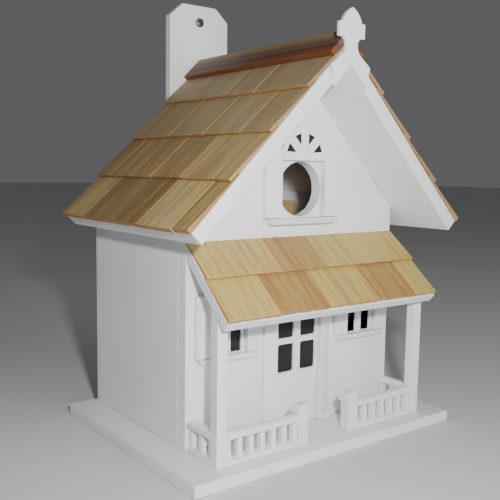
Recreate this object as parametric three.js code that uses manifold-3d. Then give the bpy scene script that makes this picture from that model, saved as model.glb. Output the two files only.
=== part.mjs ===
// A wooden cottage birdhouse: a gabled nest box on a base board, with a shingled roof, a front
// porch with posts and railings, a fanlight over the entry hole, dummy door and windows, a hinged
// clean-out door in the back wall and a mounting board behind the ridge.
// Millimetres, +Z up, the front faces -Y. The origin is under the middle of the whole object.

import * as THREE from 'three';
import { mergeVertices } from 'three/addons/utils/BufferGeometryUtils.js';
import Module from 'manifold-3d';

const wasm = await Module();
wasm.setup();

// ---------------------------------------------------------------- driving dimensions

const GAP = 0.3;               // clearance between two pieces that touch

const HOUSE_W = 187;           // across the side walls
const HOUSE_D = 130;           // over the front and back walls
const WALL_T = 9;
const WALL_TOP = 163.8;        // where the roof boards rest on the outer faces of the side walls

const BASE_T = 8;              // base board
const BASE_SIDE = 22;          // base board past each side wall
const BASE_BACK = 3;           // base board past the back wall
const PORCH_D = 46;            // base board past the front wall
const DRAIN_R = 3;             // drain holes through the nest floor
const DRAIN_INSET = 16;        // drain hole centre to the inside of the walls

const PITCH = 45;              // main roof slope, degrees
const ROOF_T = 10;             // main roof board thickness, square to the slope
const EAVE_OVERHANG = 16.5;    // roof board past the side wall, measured level
const FRONT_OVERHANG = 43.7;   // roof board past the front wall's outer face

const COURSES = 4;             // rows of shingles on each slope
const COURSE_LAP = 8;          // length hidden under the row above
const SHINGLE_HIGH = 4.1;      // a shingle's upper face over the roof board, at its lower end
const SHINGLE_TIP = 0.8;       // thickness at the upper end
const SHINGLE_DRIP = 2;        // how far the lowest row hangs past the eave
const SEAM_W = 0.5;            // saw-cut between two neighbouring shingles
const SHINGLE_SIDE = 0.4;      // how far the shingles pass the ends of the roof board
const SHINGLE_WIDTHS = [       // relative widths in each row, from the back, lowest row first
  [38, 79, 40, 17],
  [22, 60, 38, 54],
  [58, 44, 42, 30],
  [36, 50, 34, 54],
];
const CAP_W = 19;              // ridge cap strip, measured down the slope
const CAP_T = 3.6;

const HOLE_R = 19.05;          // entry hole, 38.1 mm across
const HOLE_Z = 177.3;

const PORCH_T = 7;             // porch roof board
const PORCH_PITCH = 42.5;      // porch roof slope, degrees
const PORCH_TOP = 133.5;       // height of its underside at the front wall
const PORCH_REACH = 41.7;      // front wall to the lower edge of the porch roof board
const PORCH_BUTT = 2.6;        // porch shingle thickness at the lower end
const PORCH_TIP = 1.2;
const PORCH_LAP = 4;
const PORCH_WIDTHS = [         // relative widths in each row, from the left, lowest row first
  [40, 41, 46, 38, 22],
  [60, 38, 89],
];

const POST_W = 7.4;            // porch posts and newel posts, square
const POST_INSET = 0.8;        // porch post's outer side to the end of the porch roof
const POST_SETBACK = 11.1;     // base board's front edge to the posts' front
const NEWEL_X = 22.4;          // middle of the house to a newel post's middle
const NEWEL_H = 21.8;          // newel post without its cap
const CAP_BLOCK_W = 11.2;      // newel cap, lower slab
const CAP_BLOCK_H = 6;
const CAP_CLIP = 1.2;          // its clipped corners
const CAP_TABLET_W = 6.6;      // flat on top of the cap
const RAIL_Z = 17;             // underside of the handrails over the base board
const RAIL_T = 4.3;
const RAIL_D = 8.2;
const SHOE_T = 3.8;            // bottom rail
const SHOE_D = 6.6;
const BALUSTER_W = 3.8;
const FRONT_BALUSTERS = 7;
const SIDE_BALUSTERS = 3;

const INSET_PROUD = 0.3;       // face of the door and window frames past the wall they're let into
const DOOR_W = 39.4;           // door slab between its jambs
const DOOR_H = 88;
const DOOR_T = 3;
const DOOR_PANE_W = 14.4;      // one light of the door
const DOOR_PANE_H = 20.4;
const DOOR_PANE_R = 1.6;       // rounded corners of the lights
const DOOR_MUNTIN = 6;         // between the left and right lights
const DOOR_RAIL = 4.2;         // between the lower and upper lights
const DOOR_PANE_Z = 39.8;      // lower lights, above the base board
const JAMB_W = 10.5;
const JAMB_T = 3.4;            // at its inner edge
const JAMB_FACE = 4.2;         // flat part beside the door, before the bevel
const JAMB_EDGE = 0.9;         // thickness left at the outer edge
const PLINTH_H = 5.5;          // jamb foot
const PLINTH_PROUD = 1.6;      // its lower end past the jamb's face

const WINDOW_X = 61.5;         // middle of the house to a window's middle
const WINDOW_Z = 60.3;         // window sill top over the base board
const WINDOW_H = 41;
const WINDOW_W = 28.6;         // between its shutters
const FRAME_T = 3;
const FRAME_EDGE = 2.4;        // stiles beside the lights
const FRAME_RAIL = 0.6;        // rails over and under them
const WINDOW_MUNTIN = 6.1;
const SHUTTER_W = 11.2;
const SHUTTER_T = 3.8;
const SILL_T = 3.9;
const SILL_D = 4.4;
const SILL_SLANT = 2;          // how far the sill's ends lean in towards the bottom
const SILL_SHORT = 1.6;        // sill's top short of the outer shutter edges
const PANE_T = 1;              // black backing board behind lights

const ENTRY_MARGIN = 0.4;      // edge of the entry hole to the shutter beside it
const ENTRY_SHUTTER_W = 14;
const ENTRY_SHUTTER_RISE = 8.4; // shutters past the top of the hole
const ENTRY_TRIM_T = 4.4;
const ENTRY_SILL_T = 4.5;
const ENTRY_SILL_D = 7.5;
const ENTRY_SILL_SLANT = 3.9;
const ENTRY_SILL_SHORT = 1.2;  // its top short of the outer shutter edges
const FAN_RISE = 4.6;          // straight part of the fanlight's sides
const FAN_RIM = 2.4;           // fanlight edge to the outer corners of the rays
const FAN_RAY_L = 8.5;         // length of a ray
const FAN_LIGHT_CENTRE = 2.4;  // centre of the rays over the fanlight's lower edge
const FAN_HALF = 11;           // half the angle of one ray, degrees
const FAN_DEPTH = 1.6;         // dark pane behind the fanlight's face
const FAN_RAYS = 4;
const FAN_SPREAD = 44;         // angle between two rays, degrees

const FINIAL_T = 2.4;
const FINIAL_UP = 35.5;        // tip of the spear over the roof boards' peak
const NAIL_R = 0.8;            // shank of the finial's nails
const NAIL_HEAD_R = 1.2;
const NAIL_HEAD_T = 0.7;
const NAIL_X = 6.7;

const HATCH_W = 68;            // clean-out opening in the back wall
const HATCH_H = 58;
const HATCH_Z = 20;            // its lower edge
const HATCH_PLAY = 0.6;        // clearance around the clean-out door
const HINGE_L = 36;
const LEAF_T = 1;
const LEAF_W = 11;
const KNUCKLE_R = 2.1;
const PIN_R = 0.9;
const BUTTON_L = 26;           // turn button
const BUTTON_W = 9;
const BUTTON_T = 4;
const BUTTON_OUT = 8.2;        // its pivot past the edge of the opening
const SCREW_R = 1.5;
const SCREW_HEAD_R = 3;
const SCREW_HEAD_T = 1.6;
const SCREW_DEPTH = 7;         // pivot screw length in the wall

const BOARD_W = 56;            // mounting board
const BOARD_T = 6.2;
const BOARD_UP = 65.7;         // top of the board over the roof boards' peak
const BOARD_DOWN = 81;         // bottom of the board under it
const BOARD_CLIP_X = 12;       // clipped top corners
const BOARD_CLIP_Z = 10.5;
const BOARD_HOLE_DOWN = 13.3;  // screw hole under the top of the board
const MOUNT_SCREW_R = 2;
const MOUNT_HEAD_R = 3.6;
const MOUNT_HEAD_T = 2.2;

// ---------------------------------------------------------------- derived values

const rad = THREE.MathUtils.degToRad;
const BASE_W = HOUSE_W + 2 * BASE_SIDE;
const BASE_D = HOUSE_D + PORCH_D + BASE_BACK;
const FLOOR = BASE_T;
const HALF_W = HOUSE_W / 2;
const WALL_BACK = BASE_D / 2 - BASE_BACK;          // outer face of the back wall
const WALL_FRONT = WALL_BACK - HOUSE_D;            // outer face of the front wall
const FACE = WALL_FRONT - GAP;                     // back of everything fixed to the front wall
const INSET_FRONT = WALL_FRONT - INSET_PROUD;      // face of the door and window frames

const SLOPE = Math.tan(rad(PITCH));
const PLUMB_GAP = GAP / Math.cos(rad(PITCH));
const APEX_Z = WALL_TOP + HALF_W * SLOPE;          // where the undersides of the roof boards meet
const APEX_TOP = APEX_Z + ROOF_T / Math.cos(rad(PITCH));
const EAVE_X = HALF_W + EAVE_OVERHANG;
const EAVE_Z = APEX_Z - EAVE_X * SLOPE;
const ROOF_FRONT = WALL_FRONT - FRONT_OVERHANG;
const ROOF_BACK = WALL_BACK;
const SLOPE_LENGTH = (EAVE_X + ROOF_T * Math.sin(rad(PITCH))) / Math.cos(rad(PITCH));
const COURSE_STEP = (SLOPE_LENGTH + SHINGLE_DRIP) / (COURSES + 0.12);

const HOLE_TOP = HOLE_Z + HOLE_R;
const ENTRY_SHUTTER_X = HOLE_R + ENTRY_MARGIN;     // middle to a shutter's inner edge
const ENTRY_SILL_TOP = HOLE_Z - HOLE_R - 2 * GAP;
const FAN_Z = HOLE_TOP + 2 * GAP;                  // lower edge of the fanlight
const FAN_R = ENTRY_SHUTTER_X - GAP;

const PORCH_W = HOUSE_W;                           // porch roof board, left to right
const PORCH_SLOPE = Math.tan(rad(PORCH_PITCH));
const PORCH_EAVE_Y = WALL_FRONT - PORCH_REACH;
const PORCH_EAVE_Z = PORCH_TOP - PORCH_REACH * PORCH_SLOPE;
const POST_OUT = PORCH_W / 2 - POST_INSET;
const POST_X = POST_OUT - POST_W / 2;
const POST_FRONT = -BASE_D / 2 + POST_SETBACK;
const RAIL_Y = POST_FRONT + POST_W / 2;            // middle of the front railings

const HATCH_T = WALL_T - 1;                        // clean-out door
const HINGE_X = HATCH_W / 2;
const HINGE_Y = WALL_BACK + GAP + KNUCKLE_R;
const HINGE_Z = HATCH_Z + HATCH_H / 2;
const BUTTON_X = -HATCH_W / 2 - BUTTON_OUT;

// ---------------------------------------------------------------- solids

function soldered(geometry) {
  // one closed shell with shared corners, ready to join or cut
  const bare = geometry.clone();
  bare.deleteAttribute('normal');
  bare.deleteAttribute('uv');
  const shell = mergeVertices(bare, 1e-4);
  return new wasm.Manifold(new wasm.Mesh({
    numProp: 3,
    vertProperties: Float32Array.from(shell.attributes.position.array),
    triVerts: Uint32Array.from(shell.index.array),
  }));
}

function faceted(solid) {
  const mesh = solid.getMesh();
  const geometry = new THREE.BufferGeometry();
  geometry.setAttribute('position', new THREE.BufferAttribute(Float32Array.from(mesh.vertProperties), 3));
  geometry.setIndex(new THREE.BufferAttribute(Uint32Array.from(mesh.triVerts), 1));
  geometry.computeVertexNormals();
  return geometry;
}

function cut(geometry, ...tools) {
  let solid = soldered(geometry);
  for (const tool of tools) solid = solid.subtract(soldered(tool));
  return faceted(solid);
}

function join(geometry, ...others) {
  let solid = soldered(geometry);
  for (const other of others) solid = solid.add(soldered(other));
  return faceted(solid);
}

function block(x0, x1, y0, y1, z0, z1) {
  const geometry = new THREE.BoxGeometry(x1 - x0, y1 - y0, z1 - z0);
  return geometry.translate((x0 + x1) / 2, (y0 + y1) / 2, (z0 + z1) / 2);
}

// A block whose bottom and top are two different rectangles, each [x0, x1, y0, y1].
function tapered(bottom, top, z0, z1) {
  const geometry = new THREE.BoxGeometry(1, 1, 1);
  const corner = geometry.attributes.position;
  for (let i = 0; i < corner.count; i += 1) {
    const upper = corner.getZ(i) > 0;
    const [x0, x1, y0, y1] = upper ? top : bottom;
    corner.setXYZ(i, corner.getX(i) > 0 ? x1 : x0, corner.getY(i) > 0 ? y1 : y0, upper ? z1 : z0);
  }
  geometry.computeVertexNormals();
  return geometry;
}

function outline(points) {
  return new THREE.Shape(points.map(([u, v]) => new THREE.Vector2(u, v)));
}

function roundedOutline(u0, u1, v0, v1, r) {
  const shape = new THREE.Shape();
  shape.absarc(u1 - r, v0 + r, r, -Math.PI / 2, 0, false);
  shape.absarc(u1 - r, v1 - r, r, 0, Math.PI / 2, false);
  shape.absarc(u0 + r, v1 - r, r, Math.PI / 2, Math.PI, false);
  shape.absarc(u0 + r, v0 + r, r, Math.PI, 1.5 * Math.PI, false);
  return new THREE.Shape(shape.getPoints(5));
}

function extruded(shape, depth) {
  return new THREE.ExtrudeGeometry(shape, { depth, bevelEnabled: false, curveSegments: 10 });
}

// An outline in the X-Z plane, carried along Y from y0 to y1.
function alongY(shape, y0, y1) {
  return extruded(shape, y1 - y0).rotateX(Math.PI / 2).translate(0, y1, 0);
}

// An outline in the Y-Z plane, carried along X from x0 to x1.
function alongX(shape, x0, x1) {
  return extruded(shape, x1 - x0).rotateX(Math.PI / 2).rotateZ(Math.PI / 2).translate(x0, 0, 0);
}

// An outline in the X-Y plane, carried along Z from z0 to z1.
function alongZ(shape, z0, z1) {
  return extruded(shape, z1 - z0).translate(0, 0, z0);
}

function rodAlongY(radius, y0, y1, x, z, sides = 24) {
  return new THREE.CylinderGeometry(radius, radius, y1 - y0, sides).translate(x, (y0 + y1) / 2, z);
}

function rodAlongZ(radius, z0, z1, x, y, sides = 24) {
  const rod = new THREE.CylinderGeometry(radius, radius, z1 - z0, sides);
  return rod.rotateX(Math.PI / 2).translate(x, y, (z0 + z1) / 2);
}

// ---------------------------------------------------------------- finishes

const PAINT = { color: 0xf0f1f2, roughness: 0.45, metalness: 0 };
const CEDAR = { color: 0x9a7a4e, roughness: 0.8, metalness: 0 };
const RIDGE_CEDAR = { color: 0x7a4526, roughness: 0.75, metalness: 0 };
const PINE = { color: 0xc8ab78, roughness: 0.65, metalness: 0 };
const BLACK = { color: 0x17181c, roughness: 0.5, metalness: 0 };
const BRASS = { color: 0xa98a4a, roughness: 0.35, metalness: 1 };
const STEEL = { color: 0x6f6f70, roughness: 0.4, metalness: 1 };

const birdhouse = new THREE.Group();

function add(name, geometry, finish) {
  const mesh = new THREE.Mesh(geometry, new THREE.MeshStandardMaterial(finish));
  mesh.name = name;
  birdhouse.add(mesh);
}

const SIDES = [['left', -1], ['right', 1]];

// ---------------------------------------------------------------- base board and walls

function buildBase() {
  const drains = [];
  for (const [, side] of SIDES) {
    for (const y of [WALL_FRONT + WALL_T + DRAIN_INSET, WALL_BACK - WALL_T - DRAIN_INSET]) {
      const x = side * (HALF_W - WALL_T - DRAIN_INSET);
      drains.push(rodAlongZ(DRAIN_R, -1, BASE_T + 1, x, y, 16));
    }
  }
  const board = block(-BASE_W / 2, BASE_W / 2, -BASE_D / 2, BASE_D / 2, 0, BASE_T);
  add('base_board', cut(board, ...drains), PAINT);
}

function gableOutline() {
  const eaveHeight = APEX_Z - HALF_W * SLOPE - PLUMB_GAP;
  return outline([
    [-HALF_W, FLOOR + GAP],
    [HALF_W, FLOOR + GAP],
    [HALF_W, eaveHeight],
    [0, APEX_Z - PLUMB_GAP],
    [-HALF_W, eaveHeight],
  ]);
}

function buildWalls() {
  const front = alongY(gableOutline(), WALL_FRONT, WALL_FRONT + WALL_T);
  const hole = rodAlongY(HOLE_R, WALL_FRONT - 1, WALL_FRONT + WALL_T + 1, 0, HOLE_Z, 48);
  const pocket = (x, half, z0, z1, depth) => block(x - half - GAP, x + half + GAP,
    WALL_FRONT - 1, INSET_FRONT + depth + GAP, z0 - GAP, z1 + GAP);
  const windowFoot = FLOOR + WINDOW_Z + GAP;
  const pockets = SIDES.map(([, side]) => pocket(side * WINDOW_X, WINDOW_W / 2, windowFoot,
    windowFoot + WINDOW_H, FRAME_T));
  pockets.push(pocket(0, DOOR_W / 2, FLOOR, FLOOR + DOOR_H, DOOR_T));
  add('wall_front', cut(front, hole, ...pockets), PAINT);

  const back = alongY(gableOutline(), WALL_BACK - WALL_T, WALL_BACK);
  const hatch = block(-HATCH_W / 2, HATCH_W / 2, WALL_BACK - WALL_T - 1, WALL_BACK + 1,
    HATCH_Z, HATCH_Z + HATCH_H);
  const pilotEnd = WALL_BACK - SCREW_DEPTH - GAP;
  const pilot = rodAlongY(SCREW_R + GAP, pilotEnd, WALL_BACK + 1, BUTTON_X, HINGE_Z, 16);
  add('wall_back', cut(back, hatch, pilot), PAINT);

  for (const [name, side] of SIDES) {
    const inner = HALF_W - WALL_T;
    const profile = outline([
      [side * HALF_W, FLOOR + GAP],
      [side * inner, FLOOR + GAP],
      [side * inner, APEX_Z - inner * SLOPE - PLUMB_GAP],
      [side * HALF_W, APEX_Z - HALF_W * SLOPE - PLUMB_GAP],
    ]);
    add(`wall_${name}`, alongY(profile, WALL_FRONT + WALL_T + GAP, WALL_BACK - WALL_T - GAP), PAINT);
  }
}

// ---------------------------------------------------------------- main roof

// A point on one roof slope: "up" is measured up the slope from the roof board's upper eave
// corner, "high" is the height over the board's top face, both in millimetres.
function onSlope(side, up, high) {
  const a = rad(PITCH);
  const x = EAVE_X + ROOF_T * Math.sin(a) - up * Math.cos(a) + high * Math.sin(a);
  const z = EAVE_Z + ROOF_T * Math.cos(a) + up * Math.sin(a) + high * Math.cos(a);
  return [side * x, z];
}

function buildRoofBoards() {
  for (const [name, side] of SIDES) {
    const middle = side * GAP / 2;
    const profile = outline([
      [side * EAVE_X, EAVE_Z],
      onSlope(side, 0, 0),
      [middle, APEX_TOP - GAP / 2 * SLOPE],
      [middle, APEX_Z - GAP / 2 * SLOPE],
    ]);
    add(`roof_board_${name}`, alongY(profile, ROOF_FRONT, ROOF_BACK), PAINT);
  }
}

// Cuts the seams between the shingles of one row. The cuts stop under the row above, where the
// shingles of a row hang together.
function seams(widths, start, length, cutter) {
  const total = widths.reduce((sum, width) => sum + width, 0);
  let reached = 0;
  return widths.slice(0, -1).map((width) => {
    reached += width;
    return cutter(start + length * reached / total);
  });
}

// Height over the roof board of a shingle's upper face, so far up from its lower end.
function shingleTop(along) {
  const fall = SHINGLE_HIGH - GAP - SHINGLE_TIP;
  return SHINGLE_HIGH - fall * along / (COURSE_STEP + COURSE_LAP);
}

function buildShingles() {
  const y0 = ROOF_FRONT - SHINGLE_SIDE;
  const y1 = ROOF_BACK;
  const seat = shingleTop(COURSE_STEP) + GAP;
  for (const [name, side] of SIDES) {
    for (let row = 0; row < COURSES; row += 1) {
      const butt = row * COURSE_STEP - SHINGLE_DRIP;
      const tip = Math.min(butt + COURSE_STEP + COURSE_LAP, SLOPE_LENGTH - GAP);
      const profile = outline([
        onSlope(side, butt, row === 0 ? GAP : seat),
        onSlope(side, butt, SHINGLE_HIGH),
        onSlope(side, tip, shingleTop(tip - butt)),
        onSlope(side, tip, GAP),
      ]);
      const slot = outline([
        onSlope(side, butt - 1, -1),
        onSlope(side, butt - 1, SHINGLE_HIGH * 2),
        onSlope(side, butt + COURSE_STEP, SHINGLE_HIGH * 2),
        onSlope(side, butt + COURSE_STEP, -1),
      ]);
      const sawCut = (y) => alongY(slot, y - SEAM_W / 2, y + SEAM_W / 2);
      const slots = seams(SHINGLE_WIDTHS[row], y1, y0 - y1, sawCut);
      add(`shingles_${name}_${row + 1}`, cut(alongY(profile, y0, y1), ...slots), CEDAR);
    }

    const lastButt = (COURSES - 1) * COURSE_STEP - SHINGLE_DRIP;
    const low = SLOPE_LENGTH - CAP_W + CAP_T;
    const seated = shingleTop(low - lastButt) + GAP;
    const middle = side * GAP / 2;
    const overPeak = (high) => APEX_TOP + high / Math.cos(rad(PITCH)) - GAP / 2 * SLOPE;
    const cap = outline([
      onSlope(side, low, seated),
      onSlope(side, low, seated + CAP_T),
      [middle, overPeak(seated + CAP_T)],
      [middle, overPeak(seated)],
    ]);
    add(`ridge_cap_${name}`, alongY(cap, y0, y1), RIDGE_CEDAR);
  }
}

// ---------------------------------------------------------------- finial

// The finial's outline: a spear with shoulders, a neck, and two legs that lie along the rakes.
// Points are half widths and heights over the peak of the roof boards' undersides.
function finialShape() {
  const legX = 13.7;
  const shape = new THREE.Shape();
  shape.moveTo(0, FINIAL_UP);
  shape.quadraticCurveTo(5.6, FINIAL_UP - 2.4, 8.4, 26.3);
  shape.lineTo(11.2, 25.9);
  shape.lineTo(11.2, 16.9);
  shape.lineTo(8.2, 16.7);
  shape.quadraticCurveTo(5, 15.9, 5, 12.1);
  shape.quadraticCurveTo(5.2, 8.1, 9, 5.3);
  shape.lineTo(17, -0.7);
  shape.lineTo(legX, -legX * SLOPE);
  shape.lineTo(0, 0);
  const right = shape.getPoints(6);
  const left = right.slice(1, -1).reverse().map((p) => new THREE.Vector2(-p.x, p.y));
  return new THREE.Shape([...right, ...left].map((p) => new THREE.Vector2(p.x, APEX_Z + p.y)));
}

function buildFinial() {
  const back = ROOF_FRONT - SHINGLE_SIDE - GAP;
  const front = back - FINIAL_T;
  const nailZ = APEX_Z + 1.4;
  const nailHole = (x) => rodAlongY(NAIL_R + GAP, front - 1, back + 1, x, nailZ, 12);
  const holes = SIDES.map(([, side]) => nailHole(side * NAIL_X));
  add('finial', cut(alongY(finialShape(), front, back), ...holes), PAINT);
  for (const [name, side] of SIDES) {
    const x = side * NAIL_X;
    const seat = front - GAP;
    const head = rodAlongY(NAIL_HEAD_R, seat - NAIL_HEAD_T, seat, x, nailZ, 16);
    const shank = rodAlongY(NAIL_R, seat - NAIL_HEAD_T / 2, back + GAP / 2, x, nailZ, 12);
    add(`finial_nail_${name}`, join(head, shank), PAINT);
  }
}

// ---------------------------------------------------------------- porch roof

// A point on the porch roof: "up" is measured up the slope from the board's upper front corner,
// "high" is the height over the board's top face.
function onPorch(up, high) {
  const a = rad(PORCH_PITCH);
  const y = PORCH_EAVE_Y - PORCH_T * Math.sin(a) + up * Math.cos(a) - high * Math.sin(a);
  const z = PORCH_EAVE_Z + PORCH_T * Math.cos(a) + up * Math.sin(a) + high * Math.cos(a);
  return [y, z];
}

// How far up the slope a layer "high" over the board can go before it meets the front wall.
function porchRun(high) {
  const a = rad(PORCH_PITCH);
  return (PORCH_REACH - GAP + (PORCH_T + high) * Math.sin(a)) / Math.cos(a);
}

const PORCH_STEP = porchRun(0) * 0.51;             // exposed length of the lower porch shingles

function buildPorchRoof() {
  const wallY = FACE;
  const board = outline([
    [PORCH_EAVE_Y, PORCH_EAVE_Z],
    onPorch(0, 0),
    onPorch(porchRun(0), 0),
    [wallY, PORCH_EAVE_Z + (PORCH_REACH - GAP) * PORCH_SLOPE],
  ]);
  add('porch_roof_board', alongX(board, -PORCH_W / 2, PORCH_W / 2), PAINT);

  const rise = PORCH_BUTT - PORCH_TIP;
  const seated = PORCH_TIP + rise * PORCH_LAP / (PORCH_STEP + PORCH_LAP) + 2 * GAP;
  const rows = [
    { name: 'lower', butt: 0, tip: PORCH_STEP + PORCH_LAP, lift: GAP, thick: PORCH_BUTT },
    { name: 'upper', butt: PORCH_STEP, tip: porchRun(GAP), lift: seated, thick: PORCH_BUTT - rise / 2 },
  ];
  rows.forEach((row, index) => {
    const top = row.name === 'upper' ? porchRun(GAP + PORCH_TIP) : row.tip;
    const profile = outline([
      onPorch(row.butt, row.lift),
      onPorch(row.butt, row.lift + row.thick),
      onPorch(top, GAP + PORCH_TIP),
      onPorch(row.tip, GAP),
    ]);
    const seamTools = seams(PORCH_WIDTHS[index], -PORCH_W / 2, PORCH_W, (x) => alongX(outline([
      onPorch(row.butt - 1, -1),
      onPorch(row.butt - 1, PORCH_BUTT * 3),
      onPorch(row.butt + PORCH_STEP * 0.8, PORCH_BUTT * 3),
      onPorch(row.butt + PORCH_STEP * 0.8, -1),
    ]), x - SEAM_W / 2, x + SEAM_W / 2));
    add(`porch_shingles_${row.name}`, cut(alongX(profile, -PORCH_W / 2, PORCH_W / 2), ...seamTools), PINE);
  });
}

// ---------------------------------------------------------------- porch posts and railings

function buildPosts() {
  const clear = GAP / Math.cos(rad(PORCH_PITCH));
  const underside = (y) => PORCH_EAVE_Z + (y - PORCH_EAVE_Y) * PORCH_SLOPE - clear;
  const post = outline([
    [POST_FRONT, FLOOR + GAP],
    [POST_FRONT + POST_W, FLOOR + GAP],
    [POST_FRONT + POST_W, underside(POST_FRONT + POST_W)],
    [POST_FRONT, underside(POST_FRONT)],
  ]);
  for (const [name, side] of SIDES) {
    const middle = side * POST_X;
    add(`porch_post_${name}`, alongX(post, middle - POST_W / 2, middle + POST_W / 2), PAINT);
  }
}

// A square slab with clipped corners.
function clippedSquare(x, y, width, clip) {
  const h = width / 2;
  const c = h - clip;
  return outline([
    [-h, -c], [-c, -h], [c, -h], [h, -c], [h, c], [c, h], [-c, h], [-h, c],
  ].map(([u, v]) => [x + u, y + v]));
}

function buildNewels() {
  const top = FLOOR + NEWEL_H;
  for (const [name, side] of SIDES) {
    const x = side * NEWEL_X;
    const post = block(x - POST_W / 2, x + POST_W / 2, RAIL_Y - POST_W / 2, RAIL_Y + POST_W / 2,
      FLOOR + GAP, top + 1);
    const slabTop = top + CAP_BLOCK_H / 2;
    const slab = alongZ(clippedSquare(x, RAIL_Y, CAP_BLOCK_W, CAP_CLIP), top, slabTop);
    const square = (half) => [x - half, x + half, RAIL_Y - half, RAIL_Y + half];
    const crown = tapered(square(CAP_BLOCK_W / 2 - CAP_CLIP), square(CAP_TABLET_W / 2),
      slabTop - 0.5, top + CAP_BLOCK_H);
    add(`newel_post_${name}`, join(post, slab, crown), PAINT);
  }
}

// Centre positions of balusters that share out a clear length, one close to each end.
function spread(count, from, to) {
  const first = from + BALUSTER_W / 2 + GAP;
  const last = to - BALUSTER_W / 2 - GAP;
  return Array.from({ length: count }, (_, i) => first + (last - first) * i / (count - 1));
}

// A handrail seen end on, with its two upper edges bevelled.
function handrailSection(middle, width) {
  const bottom = FLOOR + RAIL_Z;
  const top = bottom + RAIL_T;
  const edge = top - RAIL_T / 3;
  return outline([
    [middle - width / 2, bottom],
    [middle + width / 2, bottom],
    [middle + width / 2, edge],
    [middle + width / 4, top],
    [middle - width / 4, top],
    [middle - width / 2, edge],
  ]);
}

function buildFrontRailings() {
  for (const [name, side] of SIDES) {
    const inner = NEWEL_X + POST_W / 2 + GAP;
    const outer = POST_OUT - POST_W - GAP;
    const [x0, x1] = side < 0 ? [-outer, -inner] : [inner, outer];
    const under = FLOOR + RAIL_Z - GAP;
    const shoe = block(x0, x1, RAIL_Y - SHOE_D / 2, RAIL_Y + SHOE_D / 2, FLOOR + GAP, FLOOR + SHOE_T);
    const balusters = spread(FRONT_BALUSTERS, x0, x1).map((x) => block(
      x - BALUSTER_W / 2, x + BALUSTER_W / 2, RAIL_Y - BALUSTER_W / 2, RAIL_Y + BALUSTER_W / 2,
      FLOOR + SHOE_T / 2, under));
    add(`front_balustrade_${name}`, join(shoe, ...balusters), PAINT);

    add(`front_handrail_${name}`, alongX(handrailSection(RAIL_Y, RAIL_D), x0, x1), PAINT);
  }
}

function buildSideRailings() {
  const y0 = POST_FRONT + POST_W + GAP;
  const y1 = FACE;
  for (const [name, side] of SIDES) {
    const x = side * POST_X;
    const rail = handrailSection(x, POST_W);
    const shoe = block(x - SHOE_D / 2, x + SHOE_D / 2, y0, y1, FLOOR + GAP, FLOOR + SHOE_T);
    const balusters = spread(SIDE_BALUSTERS, y0, y1).map((y) => block(
      x - BALUSTER_W / 2, x + BALUSTER_W / 2, y - BALUSTER_W / 2, y + BALUSTER_W / 2,
      FLOOR + SHOE_T / 2, FLOOR + RAIL_Z + 1));
    add(`side_railing_${name}`, join(alongY(rail, y0, y1), shoe, ...balusters), PAINT);
  }
}

// ---------------------------------------------------------------- door and windows

function buildDoor() {
  const foot = FLOOR + GAP;
  const back = INSET_FRONT + DOOR_T;
  const lightsW = 2 * DOOR_PANE_W + DOOR_MUNTIN;
  const lightsH = 2 * DOOR_PANE_H + DOOR_RAIL;
  const lightsZ = FLOOR + DOOR_PANE_Z;
  const tools = [];
  for (const x of [-DOOR_MUNTIN / 2 - DOOR_PANE_W, DOOR_MUNTIN / 2]) {
    for (const z of [lightsZ, lightsZ + DOOR_PANE_H + DOOR_RAIL]) {
      const light = roundedOutline(x, x + DOOR_PANE_W, z, z + DOOR_PANE_H, DOOR_PANE_R);
      tools.push(alongY(light, INSET_FRONT - 1, back + 1));
    }
  }
  const rim = 1.2;
  tools.push(block(-lightsW / 2 - rim, lightsW / 2 + rim, back - PANE_T - GAP, back + 1,
    lightsZ - rim, lightsZ + lightsH + rim));
  const slab = block(-DOOR_W / 2, DOOR_W / 2, INSET_FRONT, back, foot, FLOOR + DOOR_H);
  add('door_panel', cut(slab, ...tools), PAINT);
  add('door_panes', block(-lightsW / 2 - rim + GAP, lightsW / 2 + rim - GAP, back - PANE_T, back,
    lightsZ - rim + GAP, lightsZ + lightsH + rim - GAP), BLACK);

  for (const [name, side] of SIDES) {
    const inner = DOOR_W / 2 + GAP;
    const outer = inner + JAMB_W;
    const profile = outline([
      [side * inner, FACE],
      [side * outer, FACE],
      [side * outer, FACE - JAMB_EDGE],
      [side * (inner + JAMB_FACE), FACE - JAMB_T],
      [side * inner, FACE - JAMB_T],
    ]);
    const across = [side * inner, side * outer].sort((a, b) => a - b);
    const plinth = tapered([...across, FACE - JAMB_T - PLINTH_PROUD, FACE],
      [...across, FACE - JAMB_T, FACE], foot, foot + PLINTH_H);
    add(`door_jamb_${name}`, join(alongZ(profile, foot, FLOOR + DOOR_H + 4), plinth), PAINT);
  }
}

// A sill whose ends and front lean in towards its underside.
function sill(x, half, top, thick, depth, slant) {
  const foot = half - slant;
  return tapered([x - foot, x + foot, FACE - depth + slant / 2, FACE],
    [x - half, x + half, FACE - depth, FACE], top - thick, top);
}

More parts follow.
